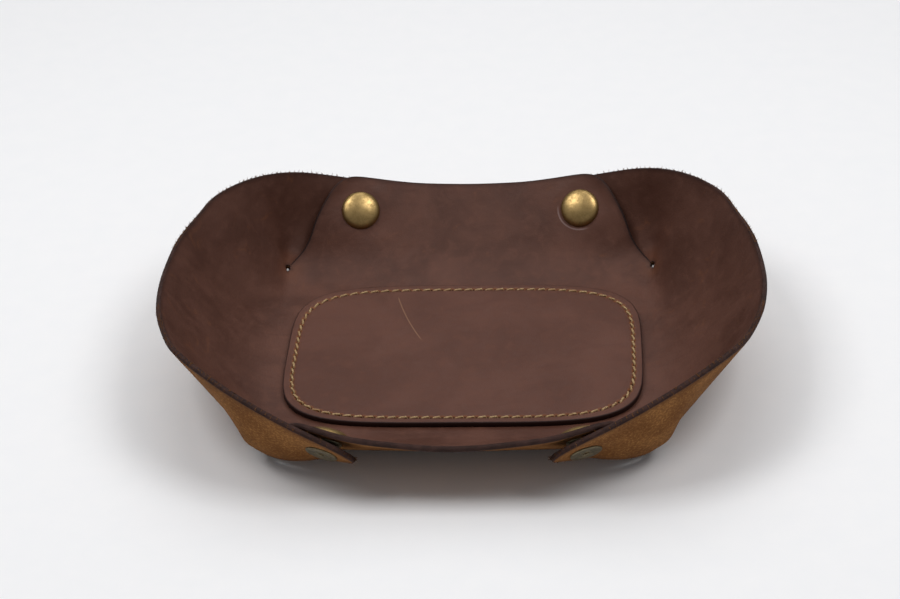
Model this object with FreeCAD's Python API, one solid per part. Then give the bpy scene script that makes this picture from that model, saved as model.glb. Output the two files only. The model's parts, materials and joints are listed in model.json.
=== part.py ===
"""Leather valet tray with four snapped corners, in millimetres.

One sheet of leather is slit at each corner. The two long walls end in tabs. The two end walls
run on round the corners as flaps, which lie outside the tabs and are held by snap fasteners.
A second piece of leather is stitched on as the base pad. X is the tray's length, Y its width,
and the tray stands on z = 0 with the origin under its middle. The front is -Y, the right is +X.
"""
import FreeCAD, Part

import math
import os

from FreeCAD import Vector

# Leather sheet
leather = 2.0
fold_gap = 0.3
corner_hole_radius = 1.5
slit_angle = 116.6

# Pad and its stitching
pad_half_length = 66.5
pad_half_width = 45.0
pad_thickness = 2.2
pad_squareness = 4.4
pad_edge_radius = 0.6
pad_pocket_clearance = 0.1
stitch_inset = 3.3
stitch_pitch = 4.05
stitch_length = 3.1
stitch_radius = 0.42
stitch_slant = 10.0
stitch_groove_width = 1.7
top_groove_depth = 0.35
under_groove_depth = 0.95
under_stitch_lift = 0.06

# Base: upturned margins from the pad out to the fold lines, their radii, and the lifted corners
end_margin = 6.0
side_margin = 10.0
end_margin_radius = 22.0
side_margin_radius = 27.0
corner_lift = 2.08
corner_lift_length = 26.5
corner_lift_width = 25.0
foot_flat = 0.1

# Flat outline of the sheet: how far it reaches past the fold lines, and the half axes of its
# elliptic corners
end_reach = 50.2
side_reach = 48.2
sheet_corner_length = 72.2
sheet_corner_width = 79.8

# End walls: slope and rim distance at the middle, and how the slope grows towards the corners
end_slope = 42.9
end_slope_power = 1.8
end_chord = 51.8
end_bend_share = 0.36
end_straight_start = 0.45

# Round corners: each is part of one flat cone whose tip is the corner hole
cone_elevation = 40.8
cone_azimuth = 225.0
cone_half_angle = 75.0
cone_top_angle = 29.4
flap_hinge_angle = 40.0

# Flaps: how their rim rises near the snap, and how they bulge outwards below the tab
flap_rise = 2.9
flap_rise_start = 11.5
flap_rise_end = -9.0
flap_tip_radius = 8.0
flap_foot = 6.5
flap_bulge = 4.5
flap_bulge_start_angle = 42.0
flap_bulge_end_angle = 88.0
flap_bulge_full = 16.0
flap_bulge_reach = 40.0

# Long walls: slope at the middle and at the snaps and the length over which it grows, the
# length of the bend, the rim and its rise towards the tabs, and the waist of the tabs
side_slope_reach = 44.7
side_slope = 36.7
side_slope_at_snap = 48.0
side_bend = 14.0
side_bend_at_snap = 12.0
side_rim = 39.2
tab_rise = 1.6
tab_rise_start = 0.35
tab_corner_radius = 6.5
tab_waist = 2.0
tab_waist_reach = 24.0

# Snap fasteners, placed from the end fold line and up the wall
snap_from_fold = 28.8
snap_up_wall = 26.7
snap_sink = 0.2
cap_diameter = 14.5
cap_height = 2.4
cap_edge = 0.5
shank_diameter = 3.2
shank_head_diameter = 4.6
shank_head_thickness = 0.3
socket_diameter = 11.5
socket_height = 2.1
socket_floor = 0.5
socket_bore = 6.3
socket_chamfer = 0.7
stud_flange_diameter = 9.0
stud_flange_thickness = 0.5
stud_head_diameter = 4.0
stud_engagement = 0.8
stud_head_round = 0.5
post_diameter = 11.5
post_thickness = 0.8
post_edge_round = 0.3
post_tube_diameter = 2.4
post_tube_bore = 1.6
rivet_clearance = 0.1

# Points along and across each surface where its formula is worked out, and round the pad
base_counts = (27, 21)
end_counts = (23, 9)
wing_counts = (7, 6)
side_counts = (25, 11)
flap_counts = (17, 13)
outline_count = 72

fold_half_length = pad_half_length + end_margin
fold_half_width = pad_half_width + side_margin
sheet_half_length = fold_half_length + end_reach
sheet_half_width = fold_half_width + side_reach
snap_x = fold_half_length - snap_from_fold
half_leather = leather / 2
pad_top = leather + pad_thickness
ORIGIN = Vector(0, 0, 0)
UP = Vector(0, 0, 1)
STEP = 0.01


def unit(vector):
    return Vector(vector).normalize()


def smooth(value):
    """Ease from 0 to 1 as the value goes from 0 to 1."""
    value = min(1.0, max(0.0, value))
    return value * value * (3 - 2 * value)


def spread(start, end, count):
    return [start + (end - start) * i / (count - 1) for i in range(count)]


def direction(elevation, azimuth):
    return Vector(math.cos(elevation) * math.cos(azimuth),
                  math.cos(elevation) * math.sin(azimuth), math.sin(elevation))


# Middle surface of the base

def base_height(x, y):
    past_x = max(0.0, abs(x) - pad_half_length)
    past_y = max(0.0, abs(y) - pad_half_width)
    lift_x = max(0.0, abs(x) - fold_half_length + corner_lift_length) / corner_lift_length
    lift_y = max(0.0, abs(y) - fold_half_width + corner_lift_width) / corner_lift_width
    margin = past_x ** 2 / (2 * end_margin_radius) + past_y ** 2 / (2 * side_margin_radius)
    return half_leather + margin + corner_lift * lift_x ** 2 * lift_y ** 2


def base_point(x, y):
    return Vector(x, y, base_height(x, y))


def end_margin_slope(y):
    """Slope of the base across the end fold line, in radians."""
    rise = base_height(fold_half_length, y) - base_height(fold_half_length - STEP, y)
    return math.atan(rise / STEP)


def side_margin_slope(x):
    """Slope of the base across the side fold line, in radians."""
    rise = base_height(x, fold_half_width) - base_height(x, fold_half_width - STEP)
    return math.atan(rise / STEP)


# Round corner, a cone with its tip at the middle of the corner hole

hole = base_point(fold_half_length, fold_half_width)
cone_axis = direction(math.radians(cone_elevation), math.radians(cone_azimuth))
cone_up = unit(UP - cone_axis * UP.dot(cone_axis))
cone_side = cone_axis.cross(cone_up)
cone_cos = math.cos(math.radians(cone_half_angle))
cone_sin = math.sin(math.radians(cone_half_angle))


def ruling(angle):
    """Direction of the corner's straight line at a flat angle about the hole, from +X."""
    turn = math.radians((angle - cone_top_angle) / cone_sin)
    round_axis = cone_up * math.cos(turn) + cone_side * math.sin(turn)
    return cone_axis * cone_cos + round_axis * cone_sin


def ruling_normal(angle):
    """Normal of the corner's surface along that line, towards the inside of the tray."""
    return unit((cone_axis - ruling(angle) * cone_cos) * (1 / cone_sin))


def corner_point(angle, distance):
    return hole + ruling(angle) * distance


corner_centre_x = sheet_half_length - sheet_corner_length
corner_centre_y = sheet_half_width - sheet_corner_width


def outside_sheet(x, y):
    """True where a point of the flat sheet lies past its outline."""
    from_start = fold_half_length + flap_rise_start - x
    raised = flap_rise * smooth(from_start / (flap_rise_start - flap_rise_end))
    across = max(0.0, y - corner_centre_y - raised) / sheet_corner_width
    along = max(0.0, x - corner_centre_x) / sheet_corner_length
    return along ** 2 + across ** 2 > 1.0


def rim_distance(angle):
    """Flat distance from the hole to the sheet's edge at a flat angle."""
    near = 0.0
    far = sheet_half_length
    cosine = math.cos(math.radians(angle))
    sine = math.sin(math.radians(angle))
    for _ in range(40):
        middle = (near + far) / 2
        if outside_sheet(fold_half_length + middle * cosine, fold_half_width + middle * sine):
            far = middle
        else:
            near = middle
    return near


# Middle surface of an end wall

def end_chord_at(y):
    """Length of the wall's chord from the fold line to the rim."""
    share = abs(y) / fold_half_width
    flat = sheet_half_length - fold_half_length
    if abs(y) > corner_centre_y:
        bow = math.sqrt(1 - ((abs(y) - corner_centre_y) / sheet_corner_width) ** 2)
        flat = corner_centre_x + sheet_corner_length * bow - fold_half_length
    shortening = end_chord / (sheet_half_length - fold_half_length)
    return flat * (shortening + (1 - shortening) * share ** 2)


def end_point(y, along):
    """Point of the end wall: along runs from 0 at the fold line to 1 at the rim."""
    share = abs(y) / fold_half_width
    last = ruling(0.0)
    last_slope = math.asin(last.z)
    last_turn = math.atan2(last.y, last.x)
    slope = math.radians(end_slope)
    slope += (last_slope - slope) * share ** end_slope_power
    turn = last_turn * (1.5 * share - 0.5 * share ** 3)
    start = base_point(fold_half_length, abs(y))
    straight = smooth((share - end_straight_start) / (1 - end_straight_start))
    chord = direction(slope, turn)
    lead = direction(end_margin_slope(abs(y)), turn) * (1 - straight) + chord * straight
    length = end_chord_at(y)
    control = start + lead * (end_bend_share * length)
    rim = start + chord * length
    point = start * (1 - along) ** 2 + control * (2 * along * (1 - along)) + rim * along ** 2
    return Vector(point.x, math.copysign(point.y, y) if y else point.y, point.z)


# Middle surface of a long wall

def side_point(x, up):
    """Point of the back wall: up is the distance from the fold line along the leather."""
    share = (max(0.0, abs(x) - snap_x + side_slope_reach) / side_slope_reach) ** 2
    start_slope = side_margin_slope(x)
    slope = math.radians(side_slope + (side_slope_at_snap - side_slope) * share)
    bend = side_bend + (side_bend_at_snap - side_bend) * min(1.0, share)
    curvature = (slope - start_slope) / bend
    reached = start_slope + curvature * min(up, bend)
    y = fold_half_width + (math.sin(reached) - math.sin(start_slope)) / curvature
    z = base_height(x, fold_half_width) + (math.cos(start_slope) - math.cos(reached)) / curvature
    straight = max(0.0, up - bend)
    return Vector(x, y + straight * math.cos(slope), z + straight * math.sin(slope))


def tab_edge(up):
    """Half length of the long wall at a distance from its fold line."""
    waist = tab_waist * math.sin(math.pi * min(1.0, up / tab_waist_reach)) ** 2
    return fold_half_length + up / math.tan(math.radians(slit_angle)) - waist


def side_rim_at(share):
    """Distance of the long wall's rim from the fold line, at a share of its half length."""
    return side_rim + tab_rise * smooth((abs(share) - tab_rise_start) / (1 - tab_rise_start))


# Solids from middle surfaces

def normal_of(surface, u, v, towards):
    """Normal of a surface given by a formula, on the side of a direction."""
    along_u = surface(u + STEP, v) - surface(u - STEP, v)
    along_v = surface(u, v + STEP) - surface(u, v - STEP)
    normal = unit(along_u.cross(along_v))
    return normal if normal.dot(towards) > 0 else -normal


def sheet_solid(rows, inner, outer):
    """Closed solid of a sheet from rows of (point, inward normal) pairs."""
    skins = []
    for offset in (inner, -outer):
        skin = Part.BSplineSurface()
        skin.interpolate([[point + normal * offset for point, normal in row] for row in rows])
        skins.append(skin)
    faces = [skin.toShape() for skin in skins]
    u_first, u_last, v_first, v_last = skins[0].bounds()
    for u_end in (0, 1):
        edges = [skin.uIso(skin.bounds()[u_end]).toShape() for skin in skins]
        faces.append(Part.makeRuledSurface(edges[0], edges[1]))
    for v_end in (2, 3):
        edges = [skin.vIso(skin.bounds()[v_end]).toShape() for skin in skins]
        faces.append(Part.makeRuledSurface(edges[0], edges[1]))
    shell = Part.Shell(faces)
    shell.sewShape()
    solid = Part.Solid(shell)
    if solid.Volume < 0:
        solid.reverse()
    return solid


def round_corner(solid, corner, side_a, side_b, normal, radius):
    """Round the corner of a sheet where its edges leave along two directions."""
    side_b = unit(side_b - normal * side_b.dot(normal))
    side_a = unit(side_a - normal * side_a.dot(normal))
    half = side_a.getAngle(side_b) / 2
    bisector = unit(side_a + side_b)
    start = corner + side_a * (radius / math.tan(half))
    end = corner + side_b * (radius / math.tan(half))
    centre = corner + bisector * (radius / math.sin(half))
    arc = Part.Arc(start, centre - bisector * radius, end)
    out_a = -unit(side_b - side_a * side_b.dot(side_a)) * radius
    out_b = -unit(side_a - side_b * side_a.dot(side_b)) * radius
    outline = Part.Wire([arc.toShape(), Part.makePolygon([end, end + out_b]).Edges[0],
                         Part.makePolygon([end + out_b, corner - bisector * radius * 2]).Edges[0],
                         Part.makePolygon([corner - bisector * radius * 2, start + out_a]).Edges[0],
                         Part.makePolygon([start + out_a, start]).Edges[0]])
    reach = 3 * leather
    outline.translate(-normal * reach)
    return solid.cut(Part.Face(outline).extrude(normal * reach * 2))


def corner_hole():
    """Cutter for the round hole at the end of the back right slit."""
    reach = 6 * leather
    return Part.makeCylinder(corner_hole_radius, 2 * reach, hole - cone_axis * reach, cone_axis)


def mirrored(shape, flip_x, flip_y):
    if flip_x:
        shape = shape.mirror(ORIGIN, Vector(1, 0, 0))
    if flip_y:
        shape = shape.mirror(ORIGIN, Vector(0, 1, 0))
    return shape


def pad_outline(grow):
    """Closed rounded outline of the pad, larger on every side by the given amount."""
    points = []
    for i in range(outline_count):
        turn = 2 * math.pi * i / outline_count
        along = abs(math.cos(turn) / (pad_half_length + grow)) ** pad_squareness
        across = abs(math.sin(turn) / (pad_half_width + grow)) ** pad_squareness
        reach = (along + across) ** (-1 / pad_squareness)
        points.append(Vector(reach * math.cos(turn), reach * math.sin(turn), 0))
    curve = Part.BSplineCurve()
    curve.interpolate(Points=points, PeriodicFlag=True)
    return curve


def pad_prism(grow, bottom, height):
    outline = Part.Wire(pad_outline(grow).toShape())
    outline.translate(UP * bottom)
    return Part.Face(outline).extrude(UP * height)


def stitch_groove(bottom, height):
    """Ring along the stitch line."""
    outer = pad_prism(stitch_groove_width / 2 - stitch_inset, bottom, height)
    return outer.cut(pad_prism(-stitch_groove_width / 2 - stitch_inset, bottom, height))


# Leather pieces

def make_base_panel():
    rows = []
    for x in spread(-fold_half_length, fold_half_length, base_counts[0]):
        row = []
        for y in spread(-fold_half_width, fold_half_width, base_counts[1]):
            row.append((base_point(x, y), normal_of(base_point, x, y, UP)))
        rows.append(row)
    panel = sheet_solid(rows, half_leather + pad_pocket_clearance, half_leather + foot_flat)
    size = 3 * fold_half_length
    below = Part.makeBox(size, size, leather, Vector(-size / 2, -size / 2, -leather))
    panel = panel.cut(below)
    panel = panel.cut(pad_prism(pad_pocket_clearance, leather, pad_thickness + corner_lift))
    panel = panel.cut(stitch_groove(-leather, leather + under_groove_depth))
    for flip_x in (False, True):
        for flip_y in (False, True):
            panel = panel.cut(mirrored(corner_hole(), flip_x, flip_y))
    return panel


def make_base_pad():
    pad = pad_prism(0.0, leather, pad_thickness)
    rim = [edge for edge in pad.Edges if edge.BoundBox.ZMin > pad_top - STEP]
    pad = pad.makeFillet(pad_edge_radius, rim)
    return pad.cut(stitch_groove(pad_top - top_groove_depth, pad_thickness))


def make_stitching():
    """Slanted stitches along the stitch line, on the pad and under the base."""
    line = pad_outline(-stitch_inset)
    count = round(line.length() / stitch_pitch)
    straight = stitch_length / 2 - stitch_radius
    outline = Part.Wire([Part.makePolygon([Vector(-stitch_length / 2, 0, 0),
                                           Vector(stitch_length / 2, 0, 0)]).Edges[0],
                         Part.Arc(Vector(stitch_length / 2, 0, 0),
                                  Vector(straight + stitch_radius * math.cos(math.pi / 4),
                                         stitch_radius * math.sin(math.pi / 4), 0),
                                  Vector(straight, stitch_radius, 0)).toShape(),
                         Part.makePolygon([Vector(straight, stitch_radius, 0),
                                           Vector(-straight, stitch_radius, 0)]).Edges[0],
                         Part.Arc(Vector(-straight, stitch_radius, 0),
                                  Vector(-straight - stitch_radius * math.cos(math.pi / 4),
                                         stitch_radius * math.sin(math.pi / 4), 0),
                                  Vector(-stitch_length / 2, 0, 0)).toShape()])
    stitch = Part.Face(outline).revolve(ORIGIN, Vector(1, 0, 0), 360)
    top = pad_top - top_groove_depth + stitch_radius
    under = stitch_radius + under_stitch_lift
    stitches = []
    for i in range(count):
        place = line.parameterAtDistance(line.length() * i / count, line.FirstParameter)
        point = line.value(place)
        tangent = Vector(line.tangent(place)[0])
        heading = math.degrees(math.atan2(tangent.y, tangent.x))
        for height, slant in ((top, stitch_slant), (under, -stitch_slant)):
            copy = stitch.copy()
            copy.rotate(ORIGIN, UP, heading + slant)
            copy.translate(Vector(point.x, point.y, height))
            stitches.append(copy)
    return Part.makeCompound(stitches)


def make_end_wall():
    """Right end wall with the fixed part of its two round corners."""
    rows = []
    for y in spread(-fold_half_width, fold_half_width, end_counts[0]):
        start = fold_gap / end_chord_at(y)
        row = []
        for along in spread(start, 1.0, end_counts[1]):
            if abs(abs(y) - fold_half_width) < STEP:
                normal = ruling_normal(0.0)
                normal = Vector(normal.x, math.copysign(normal.y, -y), normal.z)
            elif along == start:
                normal = normal_of(base_point, fold_half_length, y, UP)
            else:
                normal = normal_of(end_point, y, along, UP - Vector(1, 0, 0))
            row.append((end_point(y, along), normal))
        rows.append(row)
    wall = sheet_solid(rows, half_leather, half_leather)
    rows = []
    for angle in spread(0.0, flap_hinge_angle, wing_counts[0]):
        row = []
        for distance in spread(fold_gap, rim_distance(angle), wing_counts[1]):
            row.append((corner_point(angle, distance), ruling_normal(angle)))
        rows.append(row)
    wing = sheet_solid(rows, half_leather, half_leather)
    for flip_y in (False, True):
        wall = wall.fuse(mirrored(wing, False, flip_y))
    for flip_y in (False, True):
        wall = wall.cut(mirrored(corner_hole(), False, flip_y))
    return wall


def snap_frame():
    """Centre of the snap on the back wall's middle surface, right tab, and its inward axis."""
    centre = side_point(snap_x, snap_up_wall)
    return centre, normal_of(side_point, snap_x, snap_up_wall, UP)


def flap_snap_frame():
    """The same snap on the flap: its centre, its inward axis and the distance to the socket."""
    centre, axis = snap_frame()
    mouth = centre - axis * (half_leather - snap_sink + socket_height)
    angle = slit_angle
    distance = (mouth - hole).Length
    for _ in range(20):
        point = flap_surface(angle, distance)
        turning = (flap_surface(angle + STEP, distance) - point) * (1 / STEP)
        leaving = (flap_surface(angle, distance + STEP) - point) * (1 / STEP)
        offset = mouth - point
        shared = turning.dot(leaving)
        scale = turning.dot(turning) * leaving.dot(leaving) - shared ** 2
        angle += (offset.dot(turning) * leaving.dot(leaving) - offset.dot(leaving) * shared) / scale
        distance += (offset.dot(leaving) * turning.dot(turning) - offset.dot(turning) * shared) / scale
    point = flap_surface(angle, distance)
    normal = normal_of(flap_surface, angle, distance, ruling_normal(angle))
    return point, normal, (mouth - point).dot(normal)


def seat_cutter(centre, axis, diameter):
    """Cutter that presses the leather flat on one side, for a fastener's seat."""
    seat = centre + axis * (half_leather - snap_sink)
    return Part.makeCylinder(diameter / 2 + rivet_clearance, 2 * leather, seat, axis)


def rivet_hole(centre, axis, diameter):
    start = centre - axis * 2 * leather
    return Part.makeCylinder(diameter / 2 + rivet_clearance, 4 * leather, start, axis)


def make_long_wall():
    """Back wall with a tab at each end."""
    rows = []
    for share in spread(-1.0, 1.0, side_counts[0]):
        row = []
        for up in spread(fold_gap, side_rim_at(share), side_counts[1]):
            x = share * tab_edge(up)
            row.append((side_point(x, up), normal_of(side_point, x, up, UP)))
        rows.append(row)
    wall = sheet_solid(rows, half_leather, half_leather)
    tab_rim = side_rim_at(1.0)
    corner = side_point(tab_edge(tab_rim), tab_rim)
    normal = normal_of(side_point, tab_edge(tab_rim), tab_rim, UP)
    down_slit = side_point(tab_edge(tab_rim - 1), tab_rim - 1) - corner
    along_rim = side_point(tab_edge(tab_rim) - 1, tab_rim) - corner
    centre, axis = snap_frame()
    for flip_x in (False, True):
        wall = mirrored(wall, flip_x, False)
        wall = round_corner(wall, corner, down_slit, along_rim, normal, tab_corner_radius)
        wall = wall.cut(seat_cutter(centre, axis, cap_diameter))
        wall = wall.cut(seat_cutter(centre, -axis, socket_diameter))
        wall = wall.cut(rivet_hole(centre, axis, shank_diameter))
        wall = wall.cut(corner_hole())
    return wall


def flap_surface(angle, distance):
    """Middle surface of the flap, which bulges outwards round the foot of the tab."""
    bulge_span = flap_bulge_end_angle - flap_bulge_start_angle
    near_slit = smooth((angle - flap_bulge_start_angle) / bulge_span)
    past_full = (distance - flap_bulge_full) / (flap_bulge_reach - flap_bulge_full)
    bulge = flap_bulge * near_slit * (1 - smooth(past_full))
    return corner_point(angle, distance) - ruling_normal(angle) * bulge


def flap_point(share, along):
    """Point of the back right flap: share runs from its hinge line to the slit."""
    angle = flap_hinge_angle + share * (slit_angle - flap_hinge_angle)
    distance = flap_foot + along * (rim_distance(angle) - flap_foot)
    sideways = ruling_normal(angle).cross(ruling(angle))
    return flap_surface(angle, distance) + sideways * (fold_gap * (1 - share))


def make_flap():
    """Back right flap, from its hinge line on the round corner to its free tip."""
    rows = []
    for share in spread(0.0, 1.0, flap_counts[0]):
        row = []
        for along in spread(0.0, 1.0, flap_counts[1]):
            towards = ruling_normal(flap_hinge_angle)
            row.append((flap_point(share, along), normal_of(flap_point, share, along, towards)))
        rows.append(row)
    flap = sheet_solid(rows, half_leather, half_leather)
    tip = flap_point(1.0, 1.0)
    down_slit = flap_point(1.0, 0.95) - tip
    along_rim = flap_point(0.97, 1.0) - tip
    normal = normal_of(flap_point, 1.0, 1.0, ruling_normal(slit_angle))
    flap = round_corner(flap, tip, down_slit, along_rim, normal, flap_tip_radius)
    centre, axis, _ = flap_snap_frame()
    flap = flap.cut(seat_cutter(centre, axis, stud_flange_diameter))
    flap = flap.cut(seat_cutter(centre, -axis, post_diameter))
    return flap.cut(rivet_hole(centre, axis, post_tube_diameter))


# Snap fasteners, for the back right corner

def turned(edges, centre, axis):
    """Solid of revolution from edges in the XZ plane, set on a centre along an axis."""
    solid = Part.Face(Part.Wire(edges)).revolve(ORIGIN, UP, 360)
    solid.Placement = FreeCAD.Placement(centre, FreeCAD.Rotation(UP, axis))
    return solid


def line(start, end):
    return Part.makePolygon([Vector(start[0], 0, start[1]), Vector(end[0], 0, end[1])]).Edges[0]


def lines(*points):
    return [line(points[i], points[i + 1]) for i in range(len(points) - 1)]


def arc(start, through, end):
    ends = [Vector(point[0], 0, point[1]) for point in (start, through, end)]
    return Part.Arc(*ends).toShape()


def make_cap():
    """Domed cap on the inside of the tab, with the shank that holds the socket."""
    centre, axis = snap_frame()
    radius = cap_diameter / 2
    through = 2 * (half_leather - snap_sink)
    shank = shank_diameter / 2
    head = shank_head_diameter / 2
    floor = -through - socket_floor
    rise = cap_height - cap_edge
    sphere = (radius ** 2 + rise ** 2) / (2 * rise)
    half_way = math.asin(radius / sphere) / 2
    waist = (sphere * math.sin(half_way), cap_height - sphere * (1 - math.cos(half_way)))
    outline = lines((0, cap_height), (0, floor - shank_head_thickness),
                    (head, floor - shank_head_thickness), (head, floor), (shank, floor),
                    (shank, 0), (radius, 0), (radius, cap_edge))
    outline.append(arc((radius, cap_edge), waist, (0, cap_height)))
    return turned(outline, centre + axis * (half_leather - snap_sink), axis)


def make_socket():
    """Ring on the outside of the tab that takes the stud."""
    centre, axis = snap_frame()
    radius = socket_diameter / 2
    bore = socket_bore / 2
    hole_radius = shank_diameter / 2 + rivet_clearance
    outline = lines((hole_radius, 0), (radius, 0), (radius, socket_height - socket_chamfer),
                    (radius - socket_chamfer, socket_height), (bore, socket_height),
                    (bore, socket_floor), (hole_radius, socket_floor), (hole_radius, 0))
    return turned(outline, centre - axis * (half_leather - snap_sink), -axis)


def make_stud():
    """Stud on the inside of the flap, whose head goes into the socket."""
    centre, axis, distance = flap_snap_frame()
    head = stud_head_diameter / 2
    flange = stud_flange_diameter / 2
    bore = post_tube_diameter / 2 + rivet_clearance
    length = distance - (half_leather - snap_sink) + stud_engagement
    outline = lines((bore, 0), (flange, 0), (flange, stud_flange_thickness),
                    (head, stud_flange_thickness), (head, length - stud_head_round),
                    (head - stud_head_round, length), (bore, length), (bore, 0))
    return turned(outline, centre + axis * (half_leather - snap_sink), axis)


def make_post():
    """Flat post on the outside of the flap, with the tube that holds the stud."""
    centre, axis, distance = flap_snap_frame()
    radius = post_diameter / 2
    tube = post_tube_diameter / 2
    bore = post_tube_bore / 2
    through = 2 * (half_leather - snap_sink)
    end = -through - distance + (half_leather - snap_sink)
    edge = post_thickness - post_edge_round
    outline = lines((bore, post_thickness), (bore, end), (tube, end), (tube, 0), (radius, 0),
                    (radius, edge))
    outline += lines((radius, edge), (radius - post_edge_round, post_thickness),
                     (bore, post_thickness))
    return turned(outline, centre - axis * (half_leather - snap_sink), -axis)


def write(name, shape):
    shape.exportStep("parts/" + name + ".step")
    print(name, len(shape.Solids), "solids", round(shape.Volume, 1), "mm3", shape.isValid())


os.makedirs("parts", exist_ok=True)
write("base_panel", make_base_panel())
write("base_pad", make_base_pad())
write("stitching", make_stitching())

end_wall = make_end_wall()
write("right_end_wall", end_wall)
write("left_end_wall", mirrored(end_wall, True, False))

long_wall = make_long_wall()
write("back_wall", long_wall)
write("front_wall", mirrored(long_wall, False, True))

corner_pieces = {
    "flap": make_flap(),
    "snap_cap": make_cap(),
    "snap_socket": make_socket(),
    "snap_stud": make_stud(),
    "snap_post": make_post(),
}
for side, flip_y in (("front", True), ("back", False)):
    for end, flip_x in (("left", True), ("right", False)):
        for name, piece in corner_pieces.items():
            write(side + "_" + end + "_" + name, mirrored(piece, flip_x, flip_y))
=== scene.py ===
"""Looks of a leather valet tray with four snapped corners.

Lengths are in millimetres until a mesh is made, where they are turned into metres. X is the
tray's length, Y its width and Z is up. One flat sheet of leather is folded into the base, two
end walls, two long walls and four round corners, so every vertex of the leather also keeps its
place in the flat sheet, and the leather's grain is worked out there.
"""

import json
import math

import bpy
import numpy as np
from mathutils import Matrix, Vector


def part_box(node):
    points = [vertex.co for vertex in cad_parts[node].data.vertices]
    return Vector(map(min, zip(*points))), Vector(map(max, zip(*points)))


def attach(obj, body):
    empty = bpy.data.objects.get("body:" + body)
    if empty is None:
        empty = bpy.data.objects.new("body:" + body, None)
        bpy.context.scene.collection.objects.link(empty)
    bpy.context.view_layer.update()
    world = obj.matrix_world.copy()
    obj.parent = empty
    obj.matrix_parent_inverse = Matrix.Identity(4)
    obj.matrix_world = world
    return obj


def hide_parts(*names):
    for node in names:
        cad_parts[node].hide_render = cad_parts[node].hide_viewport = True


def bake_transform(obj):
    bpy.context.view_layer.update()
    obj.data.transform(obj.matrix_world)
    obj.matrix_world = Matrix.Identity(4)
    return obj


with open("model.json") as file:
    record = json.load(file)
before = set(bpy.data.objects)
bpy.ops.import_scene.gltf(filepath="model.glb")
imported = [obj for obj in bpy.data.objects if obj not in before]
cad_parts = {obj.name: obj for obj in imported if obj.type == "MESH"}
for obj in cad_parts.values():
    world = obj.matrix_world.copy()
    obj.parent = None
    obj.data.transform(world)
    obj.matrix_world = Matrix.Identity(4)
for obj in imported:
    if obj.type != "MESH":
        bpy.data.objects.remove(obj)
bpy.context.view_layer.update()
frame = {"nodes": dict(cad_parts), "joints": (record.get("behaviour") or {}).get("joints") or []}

MM = 0.001

# Sheet of leather: its thickness, the roundness of a cut edge and the mesh's spacing
HALF_LEATHER = 1.0
CUT_ROUND = 0.42
SPACING = 1.3

# Corner cuts: radius of the hole, and the angles round it of the slit and of the flap's seam
HOLE = 1.2
SLIT = 116.6
SEAM = 32.0

# Easing of the creases between patches: its rounds, its share and its fade round a hole
POLISH_ROUNDS = 8
POLISH_SHARE = 0.5
POLISH_FADE = 3.0

# Base and pad
PAD_LENGTH, PAD_WIDTH, PAD_TOP = [1000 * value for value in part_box("base_pad")[1]]
PAD_BOTTOM = 2 * HALF_LEATHER - 0.05
PAD_SQUARENESS = 4.4
END_MARGIN = 6.0
SIDE_MARGIN = 10.0
FOLD_LENGTH = PAD_LENGTH + END_MARGIN
FOLD_WIDTH = PAD_WIDTH + SIDE_MARGIN
END_MARGIN_RADIUS = 22.0
SIDE_MARGIN_RADIUS = 27.0
CORNER_LIFT = 2.08
CORNER_LIFT_LENGTH = 26.5
CORNER_LIFT_WIDTH = 25.0

# Flat outline of the sheet
SHEET_LENGTH = FOLD_LENGTH + 50.2
SHEET_WIDTH = FOLD_WIDTH + 48.2
CORNER_LENGTH = 72.2
CORNER_WIDTH = 79.8
CENTRE_X = SHEET_LENGTH - CORNER_LENGTH
CENTRE_Y = SHEET_WIDTH - CORNER_WIDTH

# End walls
END_SLOPE = 42.9
END_SLOPE_POWER = 1.8
END_CHORD = 51.8
END_BEND_SHARE = 0.36
END_STRAIGHT_START = 0.45

# Round corners
CONE_ELEVATION = 40.8
CONE_AZIMUTH = 225.0
CONE_HALF_ANGLE = 75.0
CONE_TOP_ANGLE = 29.4
FLAP_RISE = 2.9
FLAP_RISE_START = 11.5
FLAP_RISE_END = -9.0
FLAP_TIP_RADIUS = 16.0
FLAP_BULGE = 4.5
FLAP_BULGE_ANGLES = (8.0, 72.0)
FLAP_BULGE_REACH = (1.0, 9.0, 16.0, 40.0)

# Long walls
SIDE_SLOPE_REACH = 44.7
SIDE_SLOPE = 36.7
SIDE_SLOPE_AT_SNAP = 48.0
SIDE_BEND = 14.0
SIDE_BEND_AT_SNAP = 12.0
SIDE_RIM = 39.2
TAB_RISE = 1.6
TAB_RISE_START = 0.35
TAB_RADIUS = 6.5
TAB_WAIST = 2.0
TAB_WAIST_REACH = 24.0

# The tabs of the front wall lean a little further out than those of the back
FRONT_LEAN = 1.5
LEAN_START = 16.0
LEAN_END = 40.0
LEAN_FOOT = 10.0

# Snaps
SNAP_X = FOLD_LENGTH - 28.8
SNAP_UP_WALL = 26.7
SNAP_SINK = 0.2
SOCKET_HEIGHT = 2.1
CAP_RADIUS = 7.6
CAP_EDGE = 1.4
CAP_DOME = 1.6
POST_RADIUS = 5.75
# Ring round the back right snap that carries a painted highlight: its radius, and the side the
# highlight lies on
PRESS_RADIUS = 8.6
PRESS_HIGHLIGHT_SIDE = (-0.62, -0.78, 0.0)
CAP_SEGMENTS = 96
POST_SEGMENTS = 72

# Flat seats of the leather at the snaps: radius of the flat and radius where it has faded
TAB_SEAT = (8.5, 14.0)
FLAP_SEAT = (7.0, 12.0)

# Loose fibres at the rim of the round corners
FIBRES_AT_VERTEX = 7
FIBRE_LENGTH = 1.5
FIBRE_RADIUS = 0.17
FIBRE_ROOT = 0.3
FIBRE_SPREAD = 0.5
FIBRE_LIFT = 0.3
FIBRE_HEIGHTS = (-0.7, 0.8)
FIBRE_SEED = 5

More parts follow.
